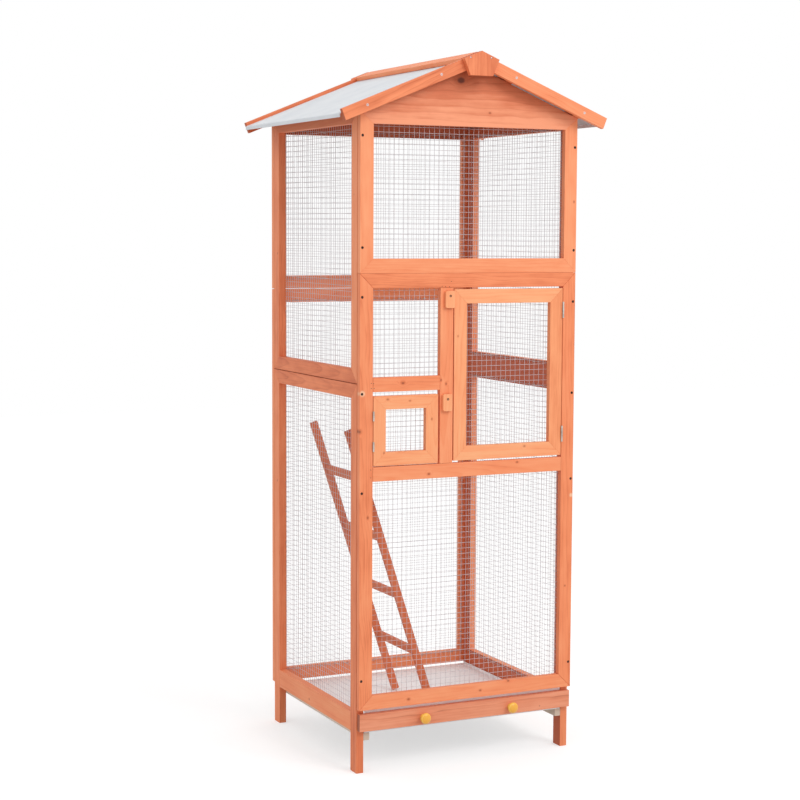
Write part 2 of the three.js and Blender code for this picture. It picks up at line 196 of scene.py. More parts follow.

# The sides of boards that look inward are drawn darker, as painted shade within the cage.
# How much of it shows depends on the place ahead of a face: in the room, in the thickness of
# the walls, in front of the gables, where there is none, or under the eaves.
FEELER = 12 * MM
GABLE_SKIN = 13 * MM
LEFT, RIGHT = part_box("left_lower_frame"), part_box("right_lower_frame")
FRONT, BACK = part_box("front_mullion"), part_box("back_lower_frame")
ROOF_LEFT, ROOF_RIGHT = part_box("roof_sheet_left"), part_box("roof_sheet_right")
TOP = CAD_BOX[1][2]
ROOM = (Vector((LEFT[1].x, FRONT[1].y, 0)), Vector((RIGHT[0].x, BACK[0].y, TOP)))
HOUSE = (Vector((LEFT[0].x, FRONT[0].y, 0)), Vector((RIGHT[1].x, BACK[1].y, TOP)))
GABLES = (HOUSE[0] - Y * GABLE_SKIN, HOUSE[1] + Y * GABLE_SKIN)
EAVES = (Vector((ROOF_LEFT[0].x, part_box("fascia_front_left")[1].y, ROOF_LEFT[0].z)),
         Vector((ROOF_RIGHT[1].x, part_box("fascia_back_left")[0].y, TOP)))
INWARD_SHADE_BY_PLACE = ((ROOM, 1.0), (HOUSE, 0.24), (GABLES, 0.0), (EAVES, 0.48))
LADDER_INWARD_SHADE = 0.75  # at most, on the ladder
# Painted shade at most, on these boards
MOST_INWARD_SHADE = {
    "back_upper_frameb": 0.32,
    "back_lower_framet": 0.32,
    "back_lower_frameb": 0.3,
}

# What chance gives a board: where it lies in the noise, its pith, its tone and its knots
NOISE_REACH = 40
PITH_ASIDE = 1.6  # of its half width
PITH_BELOW = (14, 60)  # mm
PITH_SLANT = 0.035
TONE_SPREAD = 0.05
KNOT_SPACING = 0.4  # metres of its half length for each knot
KNOT_ROOM = (0.9, 0.7)  # of its half length and half width
KNOT_RADII = (0.8, 2.0)  # mm
KNOT_KEYS = ("knot_1", "knot_2", "knot_3")
END_GRAIN = 0.8  # cosine of a face's way to the grain, from which it shows the end grain
LOOKS_DOWN = -0.5  # upward share of a normal under which a face is an underside

# Wood: waves per metre along the grain, across it and into the board
WANDER_WAVES = (6.5, 24.0, 24.0)
FIBRE_WAVES = (14.0, 900.0, 900.0)
STREAK_WAVES = (7.0, 160.0, 160.0)
BLOTCH_WAVES = (11.0, 34.0, 34.0)
RING_WANDER = 0.022
RING_SHADES = ((0.0, 0.25), (0.08, 0.0), (0.5, 0.12), (0.82, 0.55), (0.95, 1.0), (1.0, 0.25))
RING_NOISE, RING_UNEVEN = 60.0, 1.6 * MM
RINGS, STREAKS, BLOTCHES, FIBRES = 0.32, 0.6, 0.75, 0.35  # how much each darkens
BASE_SHADE = 0.22
MIDDLE_SHADE = 0.42
# Knots, in their own radii: where the core, the halo and the push on the rings fade out
KNOT_CORE, KNOT_HALO, KNOT_SWIRL = (0.6, 1.25), (1.0, 2.6), (0.0, 4.5)
KNOT_STRETCH = 0.72
KNOT_PUSH = 2.2
FAINT_KNOT, FULL_KNOT = 0.35, 11 * MM  # darkness of the smallest, and size that adds 1
NO_KNOT = 0.1 * MM
NOT_ZERO = 0.000001
CHIP_EDGE, CHIP_RAGGED = (0.55, 0.9), 1.6
# How much of its own colour each of these brings
HALO_SHARE, KNOT_SHARE, CHIP_SHARE, END_SHARE, INWARD_SHADE_SHARE = 0.5, 0.9, 0.75, 0.85, 0.9
DEEPER = 0.35  # how far ends and inner sides go on to the next darker colour
FIBRE_RELIEF, RING_RELIEF, RELIEF, RELIEF_DEPTH = 0.6, -0.35, 0.35, 0.25 * MM
# Metal
CLOUD_EDGE, GRIT_FINENESS, GRIT_DEPTH = (0.35, 0.7), 14, 0.2 * MM

# Camera, as fitted to the photograph, and light
LENS, SENSOR = 81.24, 36
CAMERA_PLACE = (-1.94090, -3.95779, 1.23994)
CAMERA_ROLL, CAMERA_DROP, CAMERA_TURN = 0.26595, 5.28531, 25.52281
KEY_PLACE, KEY_TARGET = (1.6, -4.6, 4.2), (0, 0, 0.8)
KEY_SIZE, KEY_POWER = 2.2, 95
WORLD_LIGHT = 0.85  # on the object; the camera sees 1, which is white
FLOOR_REACH = 8
FLOOR_GREY, FLOOR_GLOW = 0.62, 0.49
WHITE = (1, 1, 1, 1)


def roof_height(x):
    """Height of the roof's slope over a place, from the ridge down to the eaves."""
    low, high = ROOF_RIGHT
    return high.z - (high.z - low.z) * (abs(x) - low.x) / (high.x - low.x)


def inward(face):
    """How much painted shade a face gets for looking into the cage, from 0 to 1."""
    ahead = face.calc_center_median() + face.normal * FEELER
    if ahead.z < roof_height(ahead.x):
        for (low, high), share in INWARD_SHADE_BY_PLACE:
            if all(low[i] < ahead[i] < high[i] for i in range(3)):
                return share
    return 0.0


def add_object(name, data):
    obj = bpy.data.objects.new(name, data)
    bpy.context.scene.collection.objects.link(obj)
    return obj


# A piece of the scene: closed bodies gathered into one mesh, with what the wood
# material reads about each board.
class Piece:
    VECTORS = ("grain", "shift", "pith") + KNOT_KEYS

    def __init__(self, name, body, slot, nodes=()):
        self.name, self.body, self.slot, self.nodes = name, body, slot, nodes
        self.points, self.faces, self.looks, self.smooth = [], [], [], []
        self.materials = []
        self.vectors = {key: [] for key in self.VECTORS}
        self.tone, self.end, self.inner = [], [], []

    def add(self, bm, material, smooth=False, wood=None, most_inner=1.0, under=None):
        """One more body; the faces that look down may have a material of their own, such as the painted
        shade under the roof sheet.
        """
        for wanted in (material, under):
            if wanted and wanted not in self.materials:
                self.materials.append(wanted)
        look = self.materials.index(material)
        under_look = self.materials.index(under) if under else look
        first = len(self.points)
        bm.verts.index_update()
        for vert in bm.verts:
            self.points.append(vert.co.copy())
            facts = wood.at(vert.co) if wood else {}
            for key in self.VECTORS:
                self.vectors[key].append(facts.get(key, (0, 0, 0)))
            self.tone.append(wood.tone_at(vert.co) if wood else 0)
        for face in bm.faces:
            self.faces.append([first + vert.index for vert in face.verts])
            self.looks.append(under_look if face.normal.z < LOOKS_DOWN else look)
            self.smooth.append(smooth)
            self.end.append(abs(face.normal.dot(wood.along)) > END_GRAIN if wood else False)
            self.inner.append(min(inward(face), most_inner) if wood else 0)
        bm.free()

    def build(self):
        mesh = bpy.data.meshes.new(self.name)
        mesh.from_pydata(self.points, [], self.faces)
        for material in self.materials:
            mesh.materials.append(material)
        mesh.polygons.foreach_set("material_index", self.looks)
        mesh.polygons.foreach_set("use_smooth", self.smooth)
        for key, values in self.vectors.items():
            layer = mesh.attributes.new(key, "FLOAT_VECTOR", "POINT")
            layer.data.foreach_set("vector", [x for value in values for x in value])
        # inner holds the share of painted shade on faces that look inward
        for key, values, domain in (("tone", self.tone, "POINT"), ("end_grain", self.end, "FACE"),
                                    ("inner", self.inner, "FACE")):
            layer = mesh.attributes.new(key, "FLOAT", domain)
            layer.data.foreach_set("value", [float(x) for x in values])
        mesh.update()
        obj = add_object(self.name, mesh)
        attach(obj, self.body)
        if self.nodes:
            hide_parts(*self.nodes)


# What the wood material knows of one board: its own axes, its size, where the pith of
# the log lay, three knots, and how dark it is drawn: its stain, and painted shade on some boards.
class Wood:
    def __init__(self, name, along, across, deep, bm, knots=None):
        draw = random.Random(name)
        self.axes = (along, across, deep)
        self.along, self.across = along, across
        low = Vector([min(v.co.dot(axis) for v in bm.verts) for axis in self.axes])
        high = Vector([max(v.co.dot(axis) for v in bm.verts) for axis in self.axes])
        self.middle = (low + high) / 2
        self.half = (high - low) / 2
        self.shift = Vector([draw.uniform(-NOISE_REACH, NOISE_REACH) for _ in range(3)])
        self.pith = (draw.uniform(-PITH_ASIDE, PITH_ASIDE) * self.half.y,
                     draw.uniform(*PITH_BELOW) * MM, draw.uniform(-PITH_SLANT, PITH_SLANT))
        self.tone = TONES_AND_SHADE.get(name, 0.0) + draw.uniform(-TONE_SPREAD, TONE_SPREAD)
        self.fade = 0.0
        if knots is None:
            self.knots = self.draw_knots(draw)
        else:
            self.knots = [(place.dot(along) - self.middle.x, place.dot(across) - self.middle.y, radius)
                          for place, radius in knots]

    def draw_knots(self, draw):
        count = min(3, int(draw.uniform(0, 1) + self.half.x / KNOT_SPACING))
        along, across = KNOT_ROOM
        return [(draw.uniform(-along, along) * self.half.x, draw.uniform(-across, across) * self.half.y,
                 draw.uniform(*KNOT_RADII) * MM) for _ in range(count)]

    def tone_at(self, point):
        """Darkness of the stain, plus painted shade that may fade from one edge to the other."""
        return self.tone + self.fade * (point.dot(self.across) - self.middle.y) / self.half.y

    def at(self, point):
        local = Vector([point.dot(axis) for axis in self.axes]) - self.middle
        facts = {"grain": local, "shift": self.shift, "pith": self.pith}
        facts.update(zip(KNOT_KEYS, self.knots))
        return facts


def prism(points, plane, near, far):
    """A closed body: an outline in a plane, from one depth to another."""
    u, v, w = PLANES[plane]
    bm = bmesh.new()
    rings = [[bm.verts.new(u * p[0] + v * p[1] + w * depth) for p in points]
             for depth in (near, far)]
    bm.faces.new(rings[0])
    bm.faces.new(rings[1])
    skin(bm, rings)
    bmesh.ops.recalc_face_normals(bm, faces=bm.faces)
    return bm


def skin(bm, rings):
    """Faces from ring to ring of points; a ring of one point is a tip."""
    for a, b in zip(rings, rings[1:]):
        sides = max(len(a), len(b))
        for k in range(sides):
            m = (k + 1) % sides
            corners = [a[k % len(a)], a[m % len(a)], b[m % len(b)], b[k % len(b)]]
            bm.faces.new(list(dict.fromkeys(corners)))


def circle(side, other, radius, sides):
    """Points round an origin, in the plane of two axes."""
    return [(side * math.cos(math.tau * k / sides) + other * math.sin(math.tau * k / sides)) * radius
            for k in range(sides)]


def lathe(profile, origin, axis, sides):
    """A turned body: (radius, height) points from axis to axis, along a direction."""
    side = axis.orthogonal().normalized()
    other = axis.cross(side)
    bm = bmesh.new()
    rings = [[bm.verts.new(origin + axis * height + spoke)
              for spoke in circle(side, other, radius, sides if radius else 1)]
             for radius, height in profile]
    skin(bm, rings)
    bmesh.ops.recalc_face_normals(bm, faces=bm.faces)
    return bm


def softened(bm, width=BEVEL, segments=2):
    bmesh.ops.bevel(bm, geom=bm.edges[:], offset=width, segments=segments, profile=0.5,
                    affect="EDGES", clamp_overlap=True)
    return bm


def carved(bm, cutters):
    """The body less some others, by an exact boolean."""
    objects = []
    for source in [bm] + cutters:
        mesh = bpy.data.meshes.new("carving")
        source.to_mesh(mesh)
        source.free()
        objects.append(add_object("carving", mesh))
    body = objects[0]
    for cutter in objects[1:]:
        cut = body.modifiers.new("cut", "BOOLEAN")
        cut.object, cut.operation, cut.solver = cutter, "DIFFERENCE", "EXACT"
    graph = bpy.context.evaluated_depsgraph_get()
    result = bmesh.new()
    result.from_mesh(body.evaluated_get(graph).to_mesh())
    for obj in objects:
        mesh = obj.data
        bpy.data.objects.remove(obj)
        bpy.data.meshes.remove(mesh)
    return result


def rectangle(u0, u1, v0, v1):
    return [(u0, v0), (u1, v0), (u1, v1), (u0, v1)]


def board(piece, name, points, plane, near, far, material, along=None, holes=(), bevel=BEVEL,
          most_inner=1.0, fade=0.0):
    """One board of a piece, with its grain along the outline's longest edge or the given way."""
    u, v, w = PLANES[plane]
    edges = [Vector(b) - Vector(a) for a, b in zip(points, points[1:] + points[:1])]
    longest = max(edges, key=lambda edge: edge.length)
    edge_way = (u * longest.x + v * longest.y).normalized()
    if along is None:
        along = w if abs(far - near) > longest.length else edge_way
    if abs(along.dot(w)) > PARALLEL:
        across, deep = edge_way, along.cross(edge_way)
    else:
        across, deep = along.cross(w), w
    bm = softened(prism(points, plane, near, far), bevel)
    if holes:
        bm = carved(bm, holes)
    knots = None
    if name in KNOTS:
        knots = [((u * x + v * y) * MM, radius * MM) for x, y, radius in KNOTS[name]]
    wood = Wood(name, along, across, deep, bm, knots)
    wood.fade = fade if across.z > 0 else -fade
    piece.add(bm, material, wood=wood, most_inner=MOST_INWARD_SHADE.get(name, most_inner))


def outline(node, plane):
    """The convex outline of a CAD node in a plane, and its depths."""
    u, v, w = PLANES[plane]
    corners = [vert.co for vert in frame["nodes"][node].data.vertices]
    flat = []
    for corner in corners:
        point = Vector((corner.dot(u), corner.dot(v)))
        if all((point - other).length > SAME_POINT for other in flat):
            flat.append(point)
    hull = [flat[i] for i in convex_hull_2d(flat)]
    centre = sum(hull, Vector((0, 0))) / len(hull)
    hull.sort(key=lambda point: math.atan2(point.y - centre.y, point.x - centre.x))
    clean = []
    for before, point, after in zip(hull[-1:] + hull, hull, hull[1:] + hull[:1]):
        turn = (point - before).normalized().cross((after - point).normalized())
        if abs(turn) > STRAIGHT:
            clean.append(tuple(point))
    depths = [corner.dot(w) for corner in corners]
    return clean, min(depths), max(depths)


# Procedural materials
class Tree:
    """A short way to write the nodes of a material or a world."""

    def __init__(self, owner, shader="Principled BSDF"):
        self.owner = owner
        owner.use_nodes = True
        self.nodes, self.links = owner.node_tree.nodes, owner.node_tree.links
        self.shader = self.nodes[shader]

    def plug(self, value, socket):
        if isinstance(value, bpy.types.NodeSocket):
            self.links.new(value, socket)
        elif value is not None:
            socket.default_value = value

    def node(self, kind, *values):
        """A new node with its first inputs filled."""
        node = self.nodes.new("ShaderNode" + kind)
        for value, socket in zip(values, node.inputs):
            self.plug(value, socket)
        return node

    def math(self, operation, a, b=None, clamp=False):
        node = self.node("Math", a, b)
        node.operation, node.use_clamp = operation, clamp
        return node.outputs[0]

    def add(self, a, b, clamp=False):
        return self.math("ADD", a, b, clamp)

    def minus(self, a, b):
        return self.math("SUBTRACT", a, b)

    def times(self, a, b):
        return self.math("MULTIPLY", a, b)

    def over(self, a, b):
        return self.math("DIVIDE", a, b)

    def larger(self, a, b):
        return self.math("MAXIMUM", a, b)

    def hypot(self, a, b):
        return self.math("SQRT", self.add(self.times(a, a), self.times(b, b)))

    def swing(self, texture, strength):
        """A texture as a push to either side."""
        return self.times(self.minus(texture, 0.5), strength)

    def uneven(self, texture, middle, spread):
        return self.add(self.times(texture, spread), middle - spread / 2)

    def vector_math(self, operation, a, b):
        node = self.node("VectorMath", a, b)
        node.operation = operation
        return node.outputs["Vector"]

    def attribute(self, name, output="Vector"):
        node = self.node("Attribute")
        node.attribute_name = name
        return node.outputs[output]

    def separate(self, vector):
        return self.node("SeparateXYZ", vector).outputs[:3]

    def noise(self, vector, scale, detail, roughness=0.5):
        node = self.node("TexNoise", vector)
        for key, value in (("Scale", scale), ("Detail", detail), ("Roughness", roughness)):
            self.plug(value, node.inputs[key])
        return node.outputs["Fac"]

    def ramp(self, share, stops):
        node = self.node("ValToRGB", share)
        elements = node.color_ramp.elements
        while len(elements) < len(stops):
            elements.new(0.5)
        for element, (place, colour) in zip(elements, stops):
            element.position, element.color = place, (*colour, 1)
        return node.outputs[0]

    def mix(self, share, a, b):
        node = self.nodes.new("ShaderNodeMix")
        node.data_type = "RGBA"
        for value, socket in zip((share, a, b), (node.inputs[0], node.inputs[6], node.inputs[7])):
            self.plug((*value, 1) if isinstance(value, tuple) else value, socket)
        return node.outputs[2]

    def smooth_step(self, value, low, high, to_low=0.0, to_high=1.0):
        node = self.node("MapRange", value, low, high, to_low, to_high)
        node.interpolation_type = "SMOOTHSTEP"
        return node.outputs[0]

    def fall(self, value, low, high):
        """1 up to a low value, and smoothly down to 0 at a high one."""
        return self.smooth_step(value, low, high, 1.0, 0.0)

    def bump(self, height, strength, distance):
        node = self.node("Bump")
        for key, value in (("Height", height), ("Strength", strength), ("Distance", distance)):
            self.plug(value, node.inputs[key])
        return node.outputs[0]

    def set(self, **values):
        for key, value in values.items():
            self.plug(value, self.shader.inputs[key.replace("_", " ")])


def linear(red, green, blue):
    """A colour given as 8-bit sRGB."""
    def channel(value):
        share = value / 255
        return share / 12.92 if share <= 0.04045 else ((share + 0.055) / 1.055) ** 2.4
    return tuple(channel(value) for value in (red, green, blue))


# Painted shade for sides that look inward, and the pale colour of bare wood
PAINTED_INWARD_SHADE, BARE_WOOD = linear(190, 86, 52), linear(255, 208, 170)


def wood_material(name, light, middle, dark, knot, inward_shade_colour=PAINTED_INWARD_SHADE, ring=3.2 * MM, contrast=1.0,
                  rough=0.56, coat=0.0):
    """Sawn softwood under a thin stain: growth rings, fibres, knots and uneven uptake; painted shade on
    sides that look inward.
    """
    t = Tree(bpy.data.materials.new(name))
    place, shift = t.attribute("grain"), t.attribute("shift")
    pith_aside, pith_below, pith_slant = t.separate(t.attribute("pith"))
    a, b, c = t.separate(place)

    def texture(waves, detail, roughness):
        stretched = t.vector_math("MULTIPLY", place, waves)
        return t.noise(t.vector_math("ADD", stretched, shift), 1.0, detail, roughness)

    # Knots push the rings aside and darken the wood
    bulge = knots = halo = 0.0
    for key in KNOT_KEYS:
        along, aside, size = t.separate(t.attribute(key))
        far = t.hypot(t.times(t.minus(a, along), KNOT_STRETCH), t.minus(b, aside))
        near = t.over(far, t.add(size, NOT_ZERO))
        has = t.math("GREATER_THAN", size, NO_KNOT)
        strength = t.add(FAINT_KNOT, t.over(size, FULL_KNOT), clamp=True)
        core = t.times(t.fall(near, *KNOT_CORE), t.times(has, strength))
        knots = t.larger(knots, core)
        halo = t.larger(halo, t.times(t.fall(near, *KNOT_HALO), has))
        bulge = t.add(bulge, t.times(t.fall(near, *KNOT_SWIRL), t.times(size, KNOT_PUSH)))

    # Distance from the pith, which lies at a slant and wanders
    wander = t.swing(texture(WANDER_WAVES, 2.0, 0.55), RING_WANDER)
    across = t.add(t.minus(b, pith_aside), wander)
    below = t.add(t.add(c, pith_below), t.times(a, pith_slant))
    radius = t.add(t.hypot(across, below), bulge)
    at_radius = t.node("CombineXYZ", radius, 0.0, 0.0).outputs[0]
    width = t.add(ring, t.times(t.noise(at_radius, RING_NOISE, 1.0), RING_UNEVEN))
    late = t.ramp(t.math("FRACT", t.over(radius, width)),
                  [(share, (shade,) * 3) for share, shade in RING_SHADES])

    # Fibres, and blotches where the stain took unevenly
    fibre = texture(FIBRE_WAVES, 3.0, 0.65)
    shade = t.times(late, RINGS * contrast)
    for grain, strength in ((texture(STREAK_WAVES, 2.0, 0.6), STREAKS * contrast),
                            (texture(BLOTCH_WAVES, 3.0, 0.55), BLOTCHES), (fibre, FIBRES * contrast)):
        shade = t.add(shade, t.swing(grain, strength))
    # The tone attribute: the board's own darkness and, on some boards, painted shade
    shade = t.add(t.add(shade, t.attribute("tone", "Fac")), BASE_SHADE, clamp=True)
    colour = t.ramp(shade, [(0.0, light), (MIDDLE_SHADE, middle), (1.0, dark)])
    colour = t.mix(t.times(halo, HALO_SHARE), colour, dark)
    colour = t.mix(t.times(knots, KNOT_SHARE), colour, knot)

    # Where the stain chipped off, the pale wood shows
    along, aside, size = t.separate(t.attribute(KNOT_KEYS[2]))
    away = t.over(t.hypot(t.minus(a, along), t.minus(b, aside)), t.minus(NOT_ZERO, size))
    ragged = t.add(away, t.swing(fibre, CHIP_RAGGED))
    bare = t.times(t.fall(ragged, *CHIP_EDGE), t.math("LESS_THAN", size, -NO_KNOT))
    colour = t.mix(t.times(bare, CHIP_SHARE), colour, BARE_WOOD)

    # Ends drink more stain, and the sides that look inward are drawn darker as painted shade
    for key, share, end_stain_and_inward_shade in (("end_grain", END_SHARE, t.mix(DEEPER, dark, knot)),
                               ("inner", INWARD_SHADE_SHARE, t.mix(DEEPER, inward_shade_colour, dark))):
        colour = t.mix(t.times(t.attribute(key, "Fac"), share), colour, end_stain_and_inward_shade)

    height = t.add(t.times(fibre, FIBRE_RELIEF), t.times(late, RING_RELIEF))
    t.set(Base_Color=colour, Roughness=t.uneven(fibre, rough, 0.16), Coat_Weight=coat,
          Coat_Roughness=0.25, Specular_IOR_Level=0.4, Normal=t.bump(height, RELIEF, RELIEF_DEPTH))
    return t.owner


def metal_material(name, colour, spots, rough, metallic=1.0, scale=90.0, bump=0.15):
    """Rolled or plated metal: faint cloudy spots and an uneven polish."""
    t = Tree(bpy.data.materials.new(name))
    place = t.node("TexCoord").outputs["Object"]
    cloud = t.noise(place, scale, 3.0, 0.6)
    grit = t.noise(place, scale * GRIT_FINENESS, 2.0, 0.6)
    t.set(Base_Color=t.mix(t.smooth_step(cloud, *CLOUD_EDGE), colour, spots), Metallic=metallic,
          Roughness=t.uneven(cloud, rough, 0.18), Normal=t.bump(grit, bump, GRIT_DEPTH))
    return t.owner


FRAME_WOOD = wood_material("stained_fir", linear(255, 165, 117), linear(248, 145, 97),
                           linear(206, 98, 56), linear(118, 56, 32), contrast=0.75)
WIDE_WOOD = wood_material("stained_fir_wide", linear(252, 163, 122), linear(226, 127, 86),
                          linear(186, 92, 54), linear(104, 50, 36), ring=14.5 * MM, contrast=0.65)
DOOR_WOOD = wood_material("stained_fir_light", linear(255, 180, 129), linear(254, 163, 112),
                          linear(224, 120, 72), linear(150, 76, 44), contrast=0.85)
DRAWER_WOOD = wood_material("stained_fir_brown", linear(244, 162, 126), linear(230, 140, 103),
                            linear(172, 90, 60), linear(96, 48, 30), ring=4.4 * MM, contrast=1.3)
# The runners' raw wood, with a paler painted shade on sides that look inward
RAW_WOOD = wood_material("raw_fir", linear(244, 232, 220), linear(236, 220, 204),
                         linear(214, 194, 174), linear(196, 170, 148), inward_shade_colour=linear(216, 198, 178))
KNOB_WOOD = wood_material("lacquered_knob", linear(255, 206, 92), linear(255, 194, 70),
                          linear(252, 182, 60), linear(238, 160, 48), contrast=0.5, rough=0.36,
                          coat=0.4)
NET_STEEL = metal_material("galvanised_wire", linear(213, 208, 211), linear(198, 193, 197), 0.5,
                           metallic=0.2)
TRAY_STEEL = metal_material("galvanised_sheet", linear(253, 252, 252), linear(249, 247, 247), 0.5,
                            metallic=0.05, scale=30.0)
HINGE_STEEL = metal_material("zinc_hinge", linear(206, 204, 200), linear(168, 165, 160), 0.38)
DARK_STEEL = metal_material("dark_screw", linear(72, 52, 46), linear(44, 32, 30), 0.45, metallic=0.6)
SILVER_STEEL = metal_material("silver_screw", linear(214, 214, 216), linear(180, 180, 184), 0.32)
ROOF_SHEET = metal_material("roof_sheet", linear(226, 229, 233), linear(219, 223, 228), 0.5,
                            metallic=0.0, scale=12.0, bump=0.05)
# Painted shade: the roof sheet's underside is drawn a darker grey than its top
ROOF_UNDERSIDE_SHADE = metal_material("roof_lining", linear(198, 196, 197), linear(186, 184, 185), 0.7,
                             metallic=0.0, scale=12.0, bump=0.1)


def body_of(node):
    return next(body for body, nodes in frame["record"]["behaviour"]["bodies"].items() if node in nodes)


def slot_of(node):
    return next(part["material_slot"] for part in frame["record"]["subparts"] if part["node"] == node)


def piece_for(node, ending="_wood"):
    """A new piece that stands for a CAD node."""
    return Piece(node + ending, body_of(node), slot_of(node), [node])


def single_board(node, plane, material, **options):
    """A node that is one straight board."""
    points, near, far = outline(node, plane)
    piece = piece_for(node)
    board(piece, node, points, plane, near, far, material, **options)
    piece.build()


def screw_head():
    """A countersunk head with a cross in it: its face is at the origin and looks up."""
    radius = HEAD_RADIUS
    bm = lathe([(0, -1.5 * MM), (0.5 * radius, -1.5 * MM), (radius, -0.3 * MM), (radius, -0.1 * MM),
                (0.93 * radius, 0), (0, 0)], Vector(), Z, SCREW_SIDES)
    slots = [prism(rectangle(-x, x, -y, y), "xy", -SLOT_DEPTH, CUT_OVERRUN)
             for x, y in ((SLOT_REACH, SLOT_HALF), (SLOT_HALF, SLOT_REACH))]
    return carved(bm, slots)


def nail_head(radius):
    """A nail's low dome on a short shank: its rim is at the origin and it looks up."""
    return lathe([(0, -1.2 * MM), (0.55 * radius, -1.2 * MM), (0.6 * radius, -0.2 * MM),
                  (radius, -0.1 * MM), (radius, 0), (0.6 * radius, 0.08 * MM), (0, 0.1 * MM)],
                 Vector(), Z, NAIL_SIDES)


def stamp(piece, template, place, out, material, roll=0.0, smooth=False):
    """A copy of a fastener, set in a face."""
    bm = template.copy()
    turn = out.to_track_quat("Z", "Y").to_matrix().to_4x4()
    bm.transform(Matrix.Translation(place) @ turn @ Matrix.Rotation(roll, 4, "Z"))
    piece.add(bm, material, smooth=smooth)


def fastened(name, node, template, spots, material, draw=None):
    """A piece of like fasteners: screws, each turned by chance, or smooth nails."""
    piece = Piece(name, body_of(node), "hinge")
    for place, out in spots:
        roll = draw.uniform(0, math.pi) if draw else 0.0
        stamp(piece, template, place, out, material, roll, smooth=not draw)
    piece.build()


def screw_hole(place, out):
    """What a countersunk screw takes out of a board."""
    return lathe([(0, CUT_OVERRUN), (SCREW_RADIUS + 0.4 * MM, CUT_OVERRUN), (SCREW_RADIUS, 0),
                  (0.9 * SCREW_RADIUS, -SCREW_HOLE_DEPTH), (0, -SCREW_HOLE_DEPTH)],
                 place, out, SCREW_SIDES)


def nail_dent(place, out):
    """What a nail's head presses into a board."""
    return lathe([(0, CUT_OVERRUN), (DENT_RADIUS, CUT_OVERRUN), (DENT_RADIUS, -DENT_DEPTH),
                  (0, -DENT_DEPTH)], place, out, NAIL_SIDES)


def face_of(node):
    """Where the outer face of a front or back node lies, and the way that it looks."""
    low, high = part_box(node)
    return (low.y, -Y) if "front" in node else (high.y, Y)


def wall_screws(side):
    """Places of the screws in a front or back wall's face, and the way that the face looks."""
    node = side + "_upper_frame"
    face, out = face_of(node)
    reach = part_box(node)[1].x - SCREW_INSET
    return [(Vector((sign * reach, face, height * MM)), out)
            for sign, heights in zip((-1, 1), STILE_SCREWS) for height in heights]


def screw_holes_in(side, points):
    """Cutters for the screws of a wall that fall within an outline."""
    low, high = (Vector([pick(p[i] for p in points) for i in range(2)]) for pick in (min, max))
    return [screw_hole(place, out) for place, out in wall_screws(side)
            if low.x < place.x < high.x and low.y < place.z < high.y]


def keystone_nails(side):
    face, out = face_of("keystone_" + side)
    return [(Vector((x * MM, face, z * MM)), out) for x, z in KEYSTONE_NAILS]


def middle_height(points, x):
    """Half way up an outline at a place across it."""
    heights = []
    for (x0, z0), (x1, z1) in zip(points, points[1:] + points[:1]):
        if x0 != x1 and min(x0, x1) <= x <= max(x0, x1):
            heights.append(z0 + (z1 - z0) * (x - x0) / (x1 - x0))
    return (min(heights) + max(heights)) / 2


def fasteners():
    """Screws of the walls, fascias and buttons, and the nails."""
    draw = random.Random("fasteners")
    head = screw_head()
    for side in ("front", "back"):
        spots = [(place - out * SCREW_SINK, out) for place, out in wall_screws(side)]
        fastened(side + "_wall_screws", side + "_upper_frame", head, spots, DARK_STEEL, draw)
        for hand, sign in HANDS:
            node = "fascia_" + side + "_" + hand
            points = outline(node, "xz")[0]
            face, out = face_of(node)
            spots = [(Vector((x, face, middle_height(points, x))) + out * SCREW_PROUD, out)
                     for x in (sign * reach * MM for reach in FASCIA_SCREWS)]
            fastened(node + "_screws", node, head, spots, SILVER_STEEL, draw)
        node = "keystone_" + side
        spots = [(place - out * KEYSTONE_NAIL_SINK, out) for place, out in keystone_nails(side)]
        fastened(node + "_nails", node, nail_head(KEYSTONE_NAIL_RADIUS), spots, SILVER_STEEL)
    face, out = face_of("front_mullion")
    spots = [(Vector((x * MM, face, z * MM)), out) for x, z in RAIL_NAILS]
    fastened("front_rail_nails", "front_mullion", nail_head(NAIL_RADIUS), spots, DARK_STEEL)
    for door in ("big_door", "small_door"):
        node = door + "_button"
        x, _, z = next(joint["pos_m"] for joint in frame["record"]["behaviour"]["joints"]
                       if joint["child"] == body_of(node))
        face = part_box(node)[0].y - BUTTON_SCREW_PROUD
        fastened(node + "_screw", node, head, [(Vector((x, face, z)), -Y)], DARK_STEEL, draw)


def mitred(outer, inner, sides="lrbt"):
    """The mitred members of a rectangular frame, by side."""
    (u0, u1, v0, v1), (a0, a1, b0, b1) = outer, inner
    g = JOINT_GAP
    members = {
        "l": [(u0, v0), (a0, b0), (a0, b1), (u0, v1)],
        "r": [(u1, v0), (a1, b0), (a1, b1), (u1, v1)],
        "b": [(u0 + g, v0), (u1 - g, v0), (a1 - g, b0), (a0 + g, b0)],
        "t": [(u0 + g, v1), (u1 - g, v1), (a1 - g, b1), (a0 + g, b1)],
    }
    return {side: members[side] for side in sides}


def extent(node, plane):
    """Low and high of a node's box along a plane's two axes, and its depths."""
    u, v, w = PLANES[plane]
    low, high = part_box(node)
    return (low.dot(u), high.dot(u), low.dot(v), high.dot(v)), (low.dot(w), high.dot(w))


def opening_of(net, plane):
    """The frame's opening that a net covers."""
    (u0, u1, v0, v1), _ = extent(net, plane)
    return (u0 + NET_OVERLAP, u1 - NET_OVERLAP, v0 + NET_OVERLAP, v1 - NET_OVERLAP)


def framed(node, net, plane, material):
    """A frame of four mitred boards round the opening of its net."""
    outer, depths = extent(node, plane)
    piece = piece_for(node)
    for side, points in mitred(outer, opening_of(net, plane)).items():
        cuts = side_seams(node, side) if plane == "yz" else ()
        board(piece, node + side, points, plane, *depths, material, holes=cuts, bevel=MITRE_BEVEL)
    piece.build()


